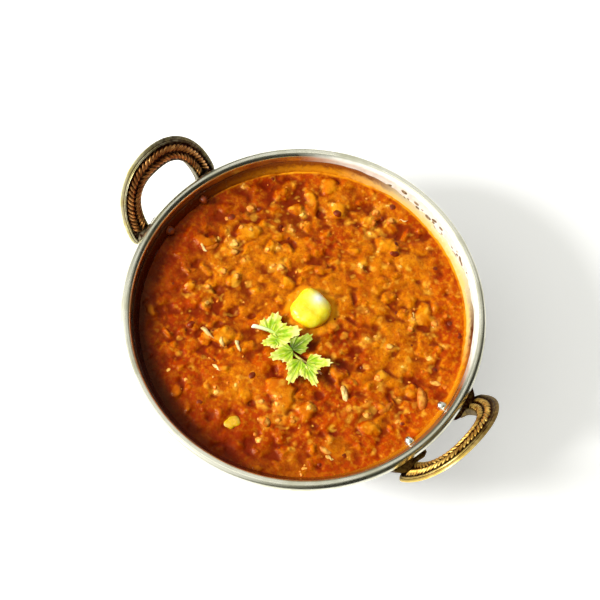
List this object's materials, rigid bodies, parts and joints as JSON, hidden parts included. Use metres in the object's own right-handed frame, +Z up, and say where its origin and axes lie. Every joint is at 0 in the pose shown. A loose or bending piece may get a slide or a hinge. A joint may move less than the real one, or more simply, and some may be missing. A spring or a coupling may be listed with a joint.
{
  "type": "dal makhani in a karahi",
  "caption": "Round steel karahi with brass loop handles, filled with thick lentil dal and topped with butter and a coriander sprig.",
  "frame": {"origin": "middle of the karahi's flat bottom, on the plane it stands on", "axes": "+Z up along the karahi's axis, +X through the middle of one handle, -X through the other"},
  "size_m": [0.1914, 0.16, 0.081],
  "materials": {
    "steel": "polished stainless steel with fine turning marks",
    "brass": "cast brass, dark in its grooves",
    "rivet_steel": "polished",
    "gravy": "thick oily lentil gravy",
    "butter": "soft, half melted",
    "leaf": "fresh leaf"
  },
  "bodies": {
    "root": {"bowl": "steel", "handle_near": "brass", "handle_far": "brass", "rivet_near_left": "rivet_steel", "rivet_near_right": "rivet_steel", "rivet_far_left": "rivet_steel", "rivet_far_right": "rivet_steel", "dal": "gravy", "butter": "butter", "butter_bit": "butter", "coriander": "leaf"}
  },
  "joints": []
}
